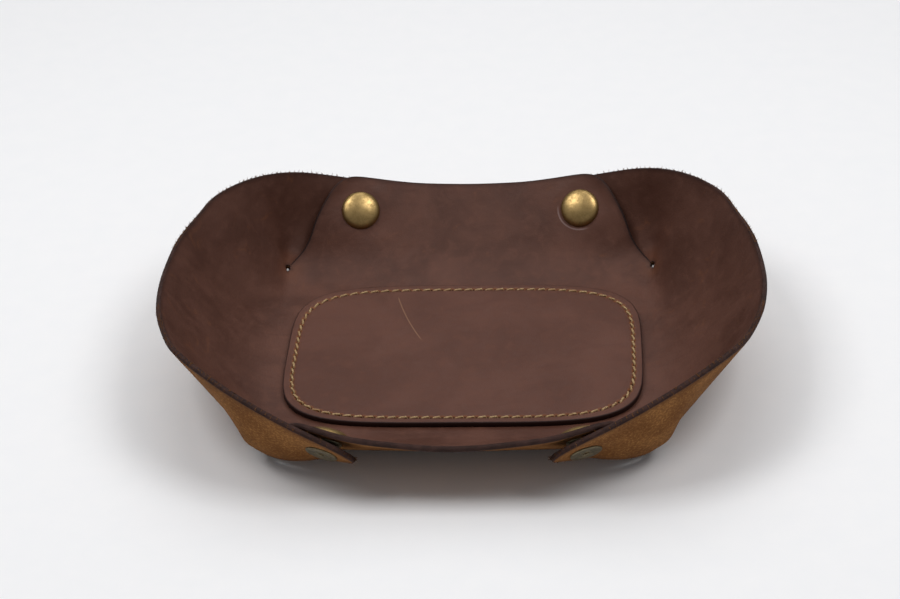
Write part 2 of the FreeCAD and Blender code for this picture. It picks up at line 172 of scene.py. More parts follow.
# Stitching
STITCH_INSET = 3.3
STITCH_PITCH = 4.05
STITCH_LENGTH = 3.4
STITCH_HOLE = 0.6
STITCH_HOLE_SPREAD = 1.6
STITCH_SLANT = 15.0
STITCH_SEED = 11
POINTS_PER_STITCH = 6
GROOVE_HALF_WIDTH = 0.95
GROOVE_DEPTH = 0.42

# Thread: its height in the groove and under the base, its dive at both ends and its two plies
THREAD_RADIUS = 0.43
THREAD_FLATNESS = 0.9
THREAD_LIFT = 0.27
THREAD_UNDER = 0.52
THREAD_ARCH = 0.07
THREAD_DIVE = 0.95
DIVE_START = 0.72
PLY_DEPTH = 0.2
PLY_TURN = 3.2
THREAD_RINGS = 15
THREAD_SEGMENTS = 14

# Light scratch on the pad: part of a large circle
SCRATCH_CENTRE = (103.2, 67.2, 0.0)
SCRATCH_RADIUS = 133.7
SCRATCH_SPAN = (8.5, 37.0)

# Distances from the tray between which the floor changes to its plain far colour
FLOOR_NEAR = 350.0
FLOOR_FAR = 1300.0
FLOOR_HALF = 3000.0

# Strength of the even light from all round
SKY_STRENGTH = 0.295

# Lamps: name, place, width and power in watts
LAMPS = [("left", (-500, -80, 890), 440, 3.9), ("right", (500, -110, 890), 440, 3.8),
         ("back", (0, 540, 860), 700, 2.6)]

# Camera: place in metres, direction of view, roll in degrees, focal length and sensor width
CAMERA_PLACE = (0.04537, -0.68679, 0.4809)
CAMERA_AHEAD = (-0.06023716, 0.83280878, -0.55027359)
CAMERA_ROLL = -2.77
CAMERA_LENS = 89.6
SENSOR_WIDTH = 36.0

SIDES = (("front", -1), ("back", 1))
ENDS = (("left", -1), ("right", 1))
UP = np.array((0.0, 0.0, 1.0))
HINGE = next(joint["pos_m"] for joint in frame["joints"] if joint["name"] == "back_wall_fold")
HINGE_Y = 1000 * HINGE[1]
HINGE_Z = 1000 * HINGE[2]


def smooth(value):
    value = np.clip(value, 0.0, 1.0)
    return value * value * (3 - 2 * value)


def above(value):
    return np.maximum(0.0, value)


def eased(value, start, end):
    return smooth((value - start) / (end - start))


def stack(*parts):
    return np.stack(np.broadcast_arrays(*parts), axis=-1)


def unit(vectors):
    return vectors / np.maximum(np.linalg.norm(vectors, axis=-1, keepdims=True), 1e-12)


def direction(elevation, azimuth):
    return stack(np.cos(elevation) * np.cos(azimuth), np.cos(elevation) * np.sin(azimuth),
                 np.sin(elevation))


# Middle surface of the leather, with the formulas of the solids

def base_height(x, y):
    past_x = above(np.abs(x) - PAD_LENGTH)
    past_y = above(np.abs(y) - PAD_WIDTH)
    lift_x = above(np.abs(x) - FOLD_LENGTH + CORNER_LIFT_LENGTH) / CORNER_LIFT_LENGTH
    lift_y = above(np.abs(y) - FOLD_WIDTH + CORNER_LIFT_WIDTH) / CORNER_LIFT_WIDTH
    margin = past_x ** 2 / (2 * END_MARGIN_RADIUS) + past_y ** 2 / (2 * SIDE_MARGIN_RADIUS)
    return HALF_LEATHER + margin + CORNER_LIFT * lift_x ** 2 * lift_y ** 2


def base_point(x, y):
    return stack(x, y, base_height(x, y))


def margin_slope(x, y, step_x, step_y):
    rise = base_height(x, y) - base_height(x - step_x, y - step_y)
    return np.arctan(rise / (step_x + step_y))


HOLE_POINT = base_point(FOLD_LENGTH, FOLD_WIDTH)
CONE_AXIS = direction(math.radians(CONE_ELEVATION), math.radians(CONE_AZIMUTH))
CONE_UP = unit(UP - CONE_AXIS * CONE_AXIS[2])
CONE_SIDE = np.cross(CONE_AXIS, CONE_UP)
CONE_COS = math.cos(math.radians(CONE_HALF_ANGLE))
CONE_SIN = math.sin(math.radians(CONE_HALF_ANGLE))


def ruling(angle):
    turn = np.radians((np.asarray(angle, float) - CONE_TOP_ANGLE) / CONE_SIN)[..., None]
    return CONE_AXIS * CONE_COS + (CONE_UP * np.cos(turn) + CONE_SIDE * np.sin(turn)) * CONE_SIN


def ruling_normal(angle):
    return unit((CONE_AXIS - ruling(angle) * CONE_COS) / CONE_SIN)


def rim_distance(angle):
    """Flat distance from the hole to the sheet's edge, for an array of flat angles."""
    cosine = np.cos(np.radians(angle))
    sine = np.sin(np.radians(angle))
    near = np.zeros_like(cosine)
    far = np.full_like(cosine, SHEET_LENGTH)
    for _ in range(40):
        middle = (near + far) / 2
        x = FOLD_LENGTH + middle * cosine
        y = FOLD_WIDTH + middle * sine
        raised = smooth((FOLD_LENGTH + FLAP_RISE_START - x) / (FLAP_RISE_START - FLAP_RISE_END))
        across = above(y - CENTRE_Y - FLAP_RISE * raised) / CORNER_WIDTH
        along = above(x - CENTRE_X) / CORNER_LENGTH
        outside = along ** 2 + across ** 2 > 1.0
        far = np.where(outside, middle, far)
        near = np.where(outside, near, middle)
    return near


def corner_point(angle, distance):
    """Point of the round corner, which bulges outwards round the foot of the tab."""
    near_slit = eased(angle, *FLAP_BULGE_ANGLES)
    first, full, fading, last = FLAP_BULGE_REACH
    near_hole = eased(distance, first, full) * (1 - eased(distance, fading, last))
    bulge = (FLAP_BULGE * near_slit * near_hole)[..., None]
    return HOLE_POINT + ruling(angle) * distance[..., None] - ruling_normal(angle) * bulge


def end_flat_length(y):
    past = above(np.abs(y) - CENTRE_Y) / CORNER_WIDTH
    return CENTRE_X + CORNER_LENGTH * np.sqrt(1 - past ** 2) - FOLD_LENGTH


def end_point(y, along):
    """Point of the right end wall: along is the share of the way from the fold to the rim."""
    share = np.abs(y) / FOLD_WIDTH
    last = ruling(0.0)
    slope = math.radians(END_SLOPE)
    slope = slope + (math.asin(last[2]) - slope) * share ** END_SLOPE_POWER
    turn = math.atan2(last[1], last[0]) * (1.5 * share - 0.5 * share ** 3)
    start = base_point(FOLD_LENGTH, np.abs(y))
    straight = eased(share, END_STRAIGHT_START, 1)[..., None]
    chord = direction(slope, turn)
    lead = direction(margin_slope(FOLD_LENGTH, np.abs(y), 0.01, 0.0), turn)
    lead = lead * (1 - straight) + chord * straight
    shortening = END_CHORD / (SHEET_LENGTH - FOLD_LENGTH)
    length = (end_flat_length(y) * (shortening + (1 - shortening) * share ** 2))[..., None]
    control = start + lead * (END_BEND_SHARE * length)
    rim = start + chord * length
    bend = END_BEND_SHARE
    along = (-bend + np.sqrt(bend ** 2 + (1 - 2 * bend) * along)) / (1 - 2 * bend)
    along = along[..., None]
    point = start * (1 - along) ** 2 + control * (2 * along * (1 - along)) + rim * along ** 2
    point[..., 1] = np.where(y < 0, -point[..., 1], point[..., 1])
    return point


def side_point(x, up):
    """Point of the back wall: up is the distance from the fold line along the leather."""
    share = (above(np.abs(x) - SNAP_X + SIDE_SLOPE_REACH) / SIDE_SLOPE_REACH) ** 2
    start_slope = margin_slope(x, FOLD_WIDTH, 0.0, 0.01)
    slope = np.radians(SIDE_SLOPE + (SIDE_SLOPE_AT_SNAP - SIDE_SLOPE) * share)
    bend = SIDE_BEND + (SIDE_BEND_AT_SNAP - SIDE_BEND) * np.minimum(1.0, share)
    curvature = (slope - start_slope) / bend
    reached = start_slope + curvature * np.minimum(up, bend)
    straight = above(up - bend)
    y = FOLD_WIDTH + (np.sin(reached) - np.sin(start_slope)) / curvature + straight * np.cos(slope)
    z = base_height(x, FOLD_WIDTH) + (np.cos(start_slope) - np.cos(reached)) / curvature
    return stack(x, y, z + straight * np.sin(slope))


def tab_edge(up):
    """Half length of the long wall, whose ends pull in a little just above the holes."""
    waist = TAB_WAIST * np.sin(np.pi * np.clip(up / TAB_WAIST_REACH, 0.0, 1.0)) ** 2
    return FOLD_LENGTH + up / math.tan(math.radians(SLIT)) - waist


def side_rim_at(share):
    """Distance of the long wall's rim from its fold line, at a share of its half length."""
    return SIDE_RIM + TAB_RISE * eased(np.abs(share), TAB_RISE_START, 1)


def front(points, lean=0.0):
    """Points of the back turned into the front, and leaned out by a share of its lean."""
    y, z = -points[..., 1] + HINGE_Y, points[..., 2] - HINGE_Z
    turn = math.radians(FRONT_LEAN) * lean
    return stack(points[..., 0], y * np.cos(turn) - z * np.sin(turn) - HINGE_Y,
                 y * np.sin(turn) + z * np.cos(turn) + HINGE_Z)


def tab_lean(x, up):
    """Share of the front wall's lean at a place of the flat wall."""
    return eased(np.abs(x), LEAN_START, LEAN_END) * smooth(up / LEAN_FOOT)


def snap_frame():
    """Centre of the back right snap on the tab's middle surface, and its inward axis."""
    step = 0.01
    centre = side_point(np.array(SNAP_X), np.array(SNAP_UP_WALL))
    along = side_point(np.array(SNAP_X + step), np.array(SNAP_UP_WALL)) - centre
    up = side_point(np.array(SNAP_X), np.array(SNAP_UP_WALL + step)) - centre
    return centre, unit(np.cross(along, up))


def flap_snap_frame():
    """The same snap on the flap, where the socket's axis point lies nearest to the flap."""
    centre, axis = snap_frame()
    mouth = centre - axis * (HALF_LEATHER - SNAP_SINK + SOCKET_HEIGHT)
    place = np.array((SLIT, np.linalg.norm(mouth - HOLE_POINT)))
    step = 0.01
    for _ in range(20):
        point = corner_point(place[:1], place[1:])[0]
        turning = (corner_point(place[:1] + step, place[1:])[0] - point) / step
        leaving = (corner_point(place[:1], place[1:] + step)[0] - point) / step
        place = place + np.linalg.lstsq(np.column_stack([turning, leaving]), mouth - point, None)[0]
    normal = unit(np.cross(turning, leaving))
    return point, normal * np.sign(normal.dot(axis))


def placed(point, axis, sign_x, sign_y, lean=0.0):
    """A point and an axis of the back right corner, moved to one of the four corners."""
    tip = point + axis
    if sign_y < 0:
        point, tip = front(point, lean), front(tip, lean)
    flip = np.array((sign_x, 1.0, 1.0))
    return point * flip, (tip - point) * flip


def round_off(a, b, radius):
    """Move points given by their distances from two crossing edges so that the corner is round."""
    inside = (a < radius) & (b < radius)
    da = radius - a
    db = radius - b
    reach = np.maximum(np.maximum(da, db), 1e-9)
    scale = np.where(inside, reach / np.maximum(np.hypot(da, db), 1e-9), 1.0)
    return np.where(inside, radius - da * scale, a), np.where(inside, radius - db * scale, b)


# The leather as one mesh of its middle surface, cut along the four slits

def spaced(start, end):
    return np.linspace(start, end, max(2, round(abs(end - start) / SPACING) + 1))


def fold_places(total):
    """Places along a fold, from one corner hole to the other, with one at the edge of each."""
    places = np.append(spaced(0.0, total - HOLE), total)
    return np.concatenate([-places[:0:-1], places])


class Surface:
    """Vertices with their place in the flat sheet, and faces with the name of their piece."""

    def __init__(self):
        self.points = []
        self.flat = []
        self.index = {}
        self.faces = []
        self.names = []

    def vertex(self, point, flat, label):
        key = (round(flat[0] * 100), round(flat[1] * 100), label)
        if key not in self.index:
            self.index[key] = len(self.points)
            self.points.append(point)
            self.flat.append(flat)
        return self.index[key]

    def grid(self, points, flats, name, hole=None, labels=None):
        """Add a grid; vertices where hole is True are left out of its faces."""
        rows, columns = points.shape[:2]
        labels = np.full((rows, columns), "") if labels is None else labels
        numbers = np.empty((rows, columns), int)
        for i in range(rows):
            for j in range(columns):
                if hole is not None and hole[i, j]:
                    numbers[i, j] = -1
                else:
                    numbers[i, j] = self.vertex(points[i, j], flats[i, j], labels[i, j])
        for i in range(rows - 1):
            for j in range(columns - 1):
                face = [numbers[i, j], numbers[i + 1, j], numbers[i + 1, j + 1], numbers[i, j + 1]]
                face = [v for v in face if v >= 0]
                corners = [self.flat[v] for v in face]
                area = sum(corners[k - 1][0] * corners[k][1] - corners[k][0] * corners[k - 1][1]
                           for k in range(len(face)))
                if area < 0:
                    face.reverse()
                self.faces.append(face)
                self.names.append(name(i, j) if callable(name) else name)


def build_surface():
    surface = Surface()
    xs = fold_places(FOLD_LENGTH)
    ys = fold_places(FOLD_WIDTH)
    rim_at_fold = rim_distance(np.array([0.0]))[0]
    shares = np.append(0.0, HOLE / rim_at_fold + (1 - HOLE / rim_at_fold)
                       * np.linspace(0, 1, round(rim_at_fold / SPACING) + 1))

    x, y = np.meshgrid(xs, ys, indexing="ij")
    is_hole = (np.abs(x) > FOLD_LENGTH - 1e-6) & (np.abs(y) > FOLD_WIDTH - 1e-6)
    surface.grid(base_point(x, y), stack(x, y), "base", is_hole)

    y, share = np.meshgrid(ys, shares, indexing="ij")
    flat_x = FOLD_LENGTH + share * end_flat_length(y)
    wall = end_point(y, share)
    is_hole = (share == 0) & (np.abs(y) > FOLD_WIDTH - 1e-6)
    for sign in (1, -1):
        surface.grid(wall * (sign, 1, 1), stack(sign * flat_x, y), "base", is_hole)

    ups = np.append(0.0, spaced(HOLE, SIDE_RIM))
    column, up = np.meshgrid(xs / FOLD_LENGTH, ups, indexing="ij")
    rim = side_rim_at(column)
    up = np.minimum(up, HOLE) + above(up - HOLE) * (rim - HOLE) / (SIDE_RIM - HOLE)
    from_slit = (1 - np.abs(column)) * tab_edge(up)
    from_slit, from_rim = round_off(from_slit, rim - up, TAB_RADIUS)
    up = rim - from_rim
    x = np.sign(column) * (tab_edge(up) - from_slit)
    is_hole = (ups[None, :] == 0) & (np.abs(column) > 1 - 1e-6)
    at_slit = (ups[None, :] > 0) & (np.abs(column) > 1 - 1e-6)
    for sign, name in ((1, "back_wall"), (-1, "front_wall")):
        labels = np.where(at_slit, name, "")
        wall = side_point(x, up)
        if sign < 0:
            wall = front(wall, tab_lean(x, up))
        surface.grid(wall, stack(x, sign * (FOLD_WIDTH + up)), name, is_hole, labels)

    # The corner's columns are SPACING apart at 0.6 of the way to the rim
    middle_reach = math.radians(1.0) * 0.6 * rim_at_fold
    wing = np.linspace(0, SEAM, round(SEAM * middle_reach / SPACING) + 1)
    lobe = np.linspace(SEAM, SLIT, round((SLIT - SEAM) * middle_reach / SPACING) + 1)
    angles = np.append(wing, lobe[1:])
    angle, share = np.meshgrid(angles, (shares[1:] - shares[1]) / (1 - shares[1]), indexing="ij")
    rim = rim_distance(angle)
    distance = HOLE + (rim - HOLE) * share
    radians = np.radians(SLIT - angle)
    from_slit, from_rim = round_off(radians * distance, rim - distance, FLAP_TIP_RADIUS)
    moved = from_slit != radians * distance
    angle = np.where(moved, SLIT - np.degrees(from_slit / distance), angle)
    distance = np.where(moved, rim_distance(angle) - from_rim, distance)
    flat_x = FOLD_LENGTH + distance * np.cos(np.radians(angle))
    flat_y = FOLD_WIDTH + distance * np.sin(np.radians(angle))
    points = corner_point(angle, distance)
    at_slit = np.zeros(angle.shape, bool)
    at_slit[-1] = True
    for side, sign_y in SIDES:
        for end, sign_x in ENDS:
            name = side + "_" + end + "_flap"
            labels = np.where(at_slit, name, "")
            surface.grid(points * (sign_x, sign_y, 1), stack(sign_x * flat_x, sign_y * flat_y),
                         lambda i, j: "base" if i < len(wing) - 1 else name, None, labels)
    return surface


def polish(points, faces, flat):
    """Ease the small creases between the patches; cut edges are eased only along themselves."""
    edges = {}
    for face in faces:
        for k in range(len(face)):
            key = tuple(sorted((face[k - 1], face[k])))
            edges[key] = edges.get(key, 0) + 1
    pairs = np.array(list(edges))
    counts = np.array(list(edges.values()))
    is_rim = np.zeros(len(points), bool)
    is_rim[pairs[counts == 1].ravel()] = True
    used = pairs[(counts == 1) | ~(is_rim[pairs].all(axis=1))]
    first = np.concatenate([used[:, 0], used[:, 1]])
    second = np.concatenate([used[:, 1], used[:, 0]])
    keep = ~(is_rim[first] & ~is_rim[second])
    first, second = first[keep], second[keep]
    number = np.maximum(np.bincount(first, minlength=len(points)), 1)[:, None]
    off_hole = np.linalg.norm(np.abs(flat) - (FOLD_LENGTH, FOLD_WIDTH), axis=1)
    share = (POLISH_SHARE * smooth((off_hole - HOLE) / POLISH_FADE))[:, None]
    for _ in range(POLISH_ROUNDS):
        total = np.zeros_like(points)
        np.add.at(total, first, points[second])
        points = points + share * (total / number - points)
    return points, pairs[counts == 1]


def flatten_at(points, centre, axis, seat, chosen):
    """Chosen points near a snap, moved along its axis into one plane."""
    offset = points - centre
    height = offset @ axis
    radius = np.linalg.norm(offset - height[:, None] * axis, axis=1)
    weight = (1 - eased(radius, *seat)) * chosen
    return points - axis * (height * weight)[:, None]


def vertex_normals(points, faces):
    normals = np.zeros_like(points)
    for face in faces:
        corners = points[face]
        normal = np.cross(corners[1] - corners[0], corners[-1] - corners[0])
        if len(face) == 4:
            normal = np.cross(corners[2] - corners[0], corners[3] - corners[1])
        normals[face] += normal
    return unit(normals)


def ring_faces(rings, count, first=0):
    """Faces between rings of count vertices that follow one another."""
    faces = []
    for low in range(first, first + (rings - 1) * count, count):
        for j in range(count):
            k = (j + 1) % count
            faces.append([low + j, low + k, low + count + k, low + count + j])
    return faces


def add_object(name, data):
    obj = bpy.data.objects.new(name, data)
    bpy.context.scene.collection.objects.link(obj)
    return obj


def make_mesh(name, points, faces, slots=None, materials=(), normals=None, attributes=None):
    mesh = bpy.data.meshes.new(name)
    mesh.from_pydata((np.asarray(points) * MM).tolist(), [], [list(map(int, f)) for f in faces])
    for key, values in (attributes or {}).items():
        values = np.asarray(values, np.float32)
        kind = "FLOAT_VECTOR" if values.ndim == 2 else "FLOAT"
        field = mesh.attributes.new(key, kind, "POINT")
        field.data.foreach_set("vector" if values.ndim == 2 else "value", values.ravel())
    for material in materials:
        mesh.materials.append(material)
    mesh.polygons.foreach_set("use_smooth", [True] * len(mesh.polygons))
    if slots is not None:
        mesh.polygons.foreach_set("material_index", slots)
    mesh.update()
    if normals is not None:
        mesh.normals_split_custom_set_from_vertices(np.asarray(normals).tolist())
    return add_object(name, mesh)


# Cross-section of a cut edge: share of the half thickness and depth behind the cut, inner to outer
CUT_PROFILE = [(1.0, 1.0, 0.0), (0.93, 0.35, 0.45), (0.62, 0.0, 0.85), (0.0, -0.12, 1.0),
               (-0.62, 0.0, 0.85), (-0.93, 0.35, 0.45), (-1.0, 1.0, 0.0)]


def build_leather(materials):
    surface = build_surface()
    flat = np.array(surface.flat)
    points = np.array(surface.points)
    faces = surface.faces
    names = np.array(surface.names)
    points, rim_edges = polish(points, faces, flat)

    on_wall = np.zeros(len(points))
    on_flap = np.zeros(len(points))
    for face, name in zip(faces, names):
        if name.endswith("_wall"):
            on_wall[face] = 1
        elif name.endswith("_flap"):
            on_flap[face] = 1
    centre, axis = snap_frame()
    flap_centre, flap_axis = flap_snap_frame()
    for sign_x in (-1, 1):
        for sign_y in (-1, 1):
            tab = placed(centre, axis, sign_x, sign_y, 1.0)
            flap = placed(flap_centre, flap_axis, sign_x, sign_y)
            points = flatten_at(points, *tab, TAB_SEAT, on_wall)
            points = flatten_at(points, *flap, FLAP_SEAT, on_flap)

    normals = vertex_normals(points, faces)

    # Outward direction in the leather at each cut edge
    outward = np.zeros_like(points)
    face_of = {}
    for number, face in enumerate(faces):
        for k in range(len(face)):
            face_of[(face[k - 1], face[k])] = number
    for a, b in rim_edges:
        if (a, b) not in face_of:
            a, b = b, a
        along = points[b] - points[a]
        for v in (a, b):
            outward[v] += np.cross(along, normals[v])
    is_cut = np.linalg.norm(outward, axis=1) > 0
    outward = unit(outward) * is_cut[:, None]

    # Distance of every vertex from the nearest cut edge, in the flat sheet
    rim_points = flat[is_cut]
    rim = np.full(len(flat), 1e9)
    for start in range(0, len(rim_points), 100):
        gap = np.linalg.norm(flat[:, None] - rim_points[start:start + 100], axis=2)
        rim = np.minimum(rim, gap.min(axis=1))

    pieces = {}
    for name in dict.fromkeys(surface.names):
        chosen = [faces[i] for i in np.nonzero(names == name)[0]]
        pieces[name] = leather_piece(name, chosen, points, normals, outward, is_cut, flat, rim,
                                     materials)
    return pieces


def fibre(root, heading, normal, length):
    """Corners and faces of one thin spike, which starts inside the leather."""
    side = unit(np.cross(heading, normal))
    foot = root - heading * FIBRE_ROOT
    corners = [foot + normal * FIBRE_RADIUS]
    # 0.87 and 0.5 place the corners of a triangle
    for sign in (-1, 1):
        corners.append(foot + (side * sign * 0.87 - normal * 0.5) * FIBRE_RADIUS)
    corners.append(root + heading * length)
    return corners, [(0, 1, 2), (0, 3, 1), (1, 3, 2), (2, 3, 0)]


def leather_piece(name, chosen, points, normals, outward, is_cut, flat, rim, materials):
    """Closed mesh of one piece: an inner and an outer skin, and strips along its edges."""
    used = sorted({v for face in chosen for v in face})
    place = {v: i for i, v in enumerate(used)}
    count = len(used)
    base = points[used] + outward[used] * -CUT_ROUND
    # Each part holds its points, normals, places in the flat sheet and distances from the rim
    parts = []
    for height in (HALF_LEATHER, -HALF_LEATHER):
        parts.append((base + normals[used] * height, normals[used] * np.sign(height),
                      np.column_stack([flat[used], np.full(count, height)]), rim[used]))
    new_faces = []
    slots = []
    edges = set()
    for face in chosen:
        new_faces.append([place[v] for v in face])
        slots.append(0)
        new_faces.append([place[v] + count for v in reversed(face)])
        slots.append(1)
        for k in range(len(face)):
            edges.add((face[k - 1], face[k]))
    border = [(a, b) for a, b in edges if (b, a) not in edges]
    columns = {}
    extra = []
    for v in sorted({v for pair in border for v in pair}):
        column = [place[v]]
        for height, depth, turn in CUT_PROFILE[1:-1]:
            column.append(2 * count + len(extra))
            if not is_cut[v]:
                depth, turn = 0.0, 0.0
            height *= HALF_LEATHER
            point = points[v] + normals[v] * height - outward[v] * (depth * CUT_ROUND)
            normal = unit(normals[v] * height / HALF_LEATHER + outward[v] * turn + 1e-9)
            extra.append((point, normal, (*flat[v], height), 0.0 if is_cut[v] else rim[v]))
        column.append(place[v] + count)
        columns[v] = column
    for a, b in border:
        for k in range(len(CUT_PROFILE) - 1):
            new_faces.append([columns[b][k], columns[a][k], columns[a][k + 1], columns[b][k + 1]])
            slots.append(2)
    random = np.random.default_rng(FIBRE_SEED)
    roots = [v for v in columns if is_cut[v] and np.all(np.abs(flat[v]) > (CENTRE_X, CENTRE_Y))
             and not name.endswith("_wall")]
    for v in roots * FIBRES_AT_VERTEX:
        heading = unit(outward[v] + random.normal(0, FIBRE_SPREAD, 3) + FIBRE_LIFT * normals[v])
        root = points[v] + normals[v] * HALF_LEATHER * random.uniform(*FIBRE_HEIGHTS)
        corners, sides = fibre(root, heading, normals[v], FIBRE_LENGTH * random.uniform() ** 2)
        first = 2 * count + len(extra)
        extra += [(corner, heading, (*flat[v], 0.0), 0.0) for corner in corners]
        new_faces += [[first + k for k in side] for side in sides]
        slots += [1] * len(sides)
    parts.append(tuple(map(np.array, zip(*extra))))
    points, normals, flat, rim = map(np.concatenate, zip(*parts))
    return make_mesh("leather_" + name, points, new_faces, slots, materials, normals,
                     {"flat": flat, "rim": rim})


# Pad and stitching

def pad_ring(inset, count):
    """Points and running lengths of the pad's outline, moved inwards."""
    turn = np.linspace(0, 2 * np.pi, 4 * count + 1)
    along = np.abs(np.cos(turn) / (PAD_LENGTH - inset)) ** PAD_SQUARENESS
    across = np.abs(np.sin(turn) / (PAD_WIDTH - inset)) ** PAD_SQUARENESS
    reach = (along + across) ** (-1 / PAD_SQUARENESS)
    fine = np.column_stack([reach * np.cos(turn), reach * np.sin(turn)])
    steps = np.append(0.0, np.cumsum(np.linalg.norm(np.diff(fine, axis=0), axis=1)))
    places = np.linspace(0, steps[-1], count, endpoint=False)
    ring = np.column_stack([np.interp(places, steps, fine[:, axis]) for axis in (0, 1)])
    return ring, places, steps[-1]


def stitch_line():
    """Length of the stitch line and its number of stitches."""
    length = pad_ring(STITCH_INSET, 400)[2]
    return length, round(length / STITCH_PITCH)


def pad_lift(x, y):
    return base_height(x, y) - HALF_LEATHER


def pad_profile():
    """Distance inwards and depth below the top, from the pad's underside to its middle."""
    edge = [(0.25, PAD_TOP - PAD_BOTTOM), (0.0, 1.7), (0.0, 0.5), (0.06, 0.24), (0.2, 0.08),
            (0.42, 0.015), (0.75, 0.0), (1.8, 0.0)]
    groove = [(STITCH_INSET + place, GROOVE_DEPTH * (1 - smooth(abs(place) / GROOVE_HALF_WIDTH)))
              for place in np.linspace(-GROOVE_HALF_WIDTH, GROOVE_HALF_WIDTH, 9)]
    plain = [(inset, 0.0) for inset in (5.5, 7.0, 9.0, *np.arange(12.0, PAD_WIDTH - 2, 3.0))]
    return edge + groove + plain


def build_pad(material):
    stitch_length, stitches = stitch_line()
    segments = stitches * POINTS_PER_STITCH
    outline = pad_ring(0.0, segments)[0]
    # Distance along the stitch line to the nearest stitch hole, midway between two stitches
    turn = pad_ring(STITCH_INSET, segments)[1] / stitch_length * stitches
    to_hole = np.abs(turn % 1.0 - 0.5) * STITCH_PITCH
    points = []
    holes = []
    across = []
    for inset, down in pad_profile():
        x = outline[:, 0] * (PAD_LENGTH - inset) / PAD_LENGTH
        y = outline[:, 1] * (PAD_WIDTH - inset) / PAD_WIDTH
        off_hole = np.hypot(to_hole, inset - STITCH_INSET)
        dent = STITCH_HOLE * (1 - smooth(off_hole / (STITCH_HOLE_SPREAD * STITCH_HOLE)))
        points.append(np.column_stack([x, y, PAD_TOP - down - dent + pad_lift(x, y)]))
        holes.append(off_hole)
        across.append(np.full(segments, inset))
    faces = ring_faces(len(points), segments)
    top_centre = len(points) * segments
    last = top_centre - segments
    under_centre = top_centre + 1
    points = np.vstack(points + [[[0, 0, PAD_TOP], [0, 0, PAD_BOTTOM]]])
    for j in range(segments):
        k = (j + 1) % segments
        faces.append([last + j, last + k, top_centre])
        faces.append([k, j, under_centre])
    return make_mesh("pad", points, faces, None, [material], None,
                     {"flat": points, "off_hole": np.concatenate(holes + [[PAD_WIDTH, PAD_WIDTH]]),
                      "inset": np.concatenate(across + [[PAD_WIDTH, 0.0]])})


def build_stitching(material):
    """Every stitch is two plies of thread twisted together, and dives at both ends."""
    random = np.random.default_rng(STITCH_SEED)
    stitches = stitch_line()[1]
    ring = pad_ring(STITCH_INSET, stitches)[0]
    ahead = pad_ring(STITCH_INSET, stitches * 8)[0]
    around = THREAD_SEGMENTS
    run = np.linspace(-1, 1, THREAD_RINGS)
    points = []
    faces = []
    for sign in (1, -1):
        for i in range(stitches):
            along = ahead[(i * 8 + 1) % len(ahead)] - ahead[i * 8 - 1]
            slant = math.radians(STITCH_SLANT + random.normal(0, 2.0)) * sign
            turn = math.atan2(along[1], along[0]) + slant
            heading = np.array((math.cos(turn), math.sin(turn), 0.0))
            side = np.array((-heading[1], heading[0], 0.0))
            half = STITCH_LENGTH / 2 * (1 + random.normal(0, 0.03))
            lift = pad_lift(ring[i, 0], ring[i, 1])
            height = lift + (PAD_TOP - GROOVE_DEPTH + THREAD_LIFT if sign > 0 else THREAD_UNDER)
            twist = random.uniform(0, 2 * np.pi)
            first = len(points)
            for place in run:
                dip = THREAD_DIVE * (max(0.0, abs(place) - DIVE_START) / (1 - DIVE_START)) ** 1.5
                arch = THREAD_ARCH * (1 - place * place)
                centre = np.array((ring[i, 0], ring[i, 1], height + sign * (arch - dip)))
                centre = centre + heading * (half * place)
                for j in range(around):
                    angle = 2 * np.pi * j / around
                    ply = abs(math.cos(angle + twist + place * PLY_TURN))
                    radius = THREAD_RADIUS * (1 - PLY_DEPTH + PLY_DEPTH * ply)
                    points.append(centre + side * (radius * math.cos(angle))
                                  + UP * (radius * THREAD_FLATNESS * math.sin(angle)))
            last = first + (THREAD_RINGS - 1) * around
            faces += [[a, d, c, b] for a, b, c, d in ring_faces(THREAD_RINGS, around, first)]
            faces.append(list(range(first, first + around)))
            faces.append(list(reversed(range(last, last + around))))
    points = np.array(points)
    return make_mesh("stitches", points, faces, None, [material], None, {"flat": points})


# Snaps

def lathe(name, profile, centre, axis, segments, material):
    """Closed turned piece: profile is a list of (radius, height) from the axis round to the axis."""
    axis = unit(axis)
    side = unit(np.cross(axis, (0.3, 0.9, 0.1)))
    other = np.cross(axis, side)
    points = []
    for radius, height in profile:
        for angle in 2 * np.pi * np.arange(segments) / segments:
            outwards = side * math.cos(angle) + other * math.sin(angle)
            points.append(centre + axis * height + outwards * radius)
    last = (len(profile) - 1) * segments
    faces = ring_faces(len(profile), segments)
    faces.append(list(reversed(range(segments))))
    faces.append(list(range(last, last + segments)))
    points = np.array(points)
    local = points - centre
    rest = np.column_stack([local @ side, local @ other, local @ axis])
    return make_mesh(name, points, faces, None, [material], None, {"local": rest})


def curve(centre_r, centre_h, radius_r, radius_h, start, end, count):
    """Points of an elliptic arc, angles in degrees from the outward direction."""
    angles = np.radians(np.linspace(start, end, count))
    return [(centre_r + radius_r * math.cos(a), centre_h + radius_h * math.sin(a)) for a in angles]


def cap_profile():
    """Low dome whose edge turns down to the leather."""
    dome = []
    for turn in np.linspace(0.0, 1.53, 30):
        share = math.cos(turn) ** 0.6
        height = CAP_EDGE * math.sqrt(1 - share ** 10) + CAP_DOME * (1 - share ** 2)
        dome.append((CAP_RADIUS * share, height))
    return [(0.3, -0.1), (CAP_RADIUS - 0.3, -0.1)] + dome


def post_profile():
    """Flat washer with a rolled edge and a dished middle round the open tube."""
    rim = curve(POST_RADIUS - 0.4, 0.4, 0.4, 0.4, -90, 90, 9)
    dish = [(3.4, 0.78), (2.9, 0.70), (2.4, 0.52), (2.0, 0.40)]
    roll = curve(1.45, 0.40, 0.35, 0.34, 60, 180, 7)
    return [(0.3, 0.0)] + rim + dish + roll + [(1.05, 0.0), (1.0, -0.9), (0.2, -0.95)]


# Materials

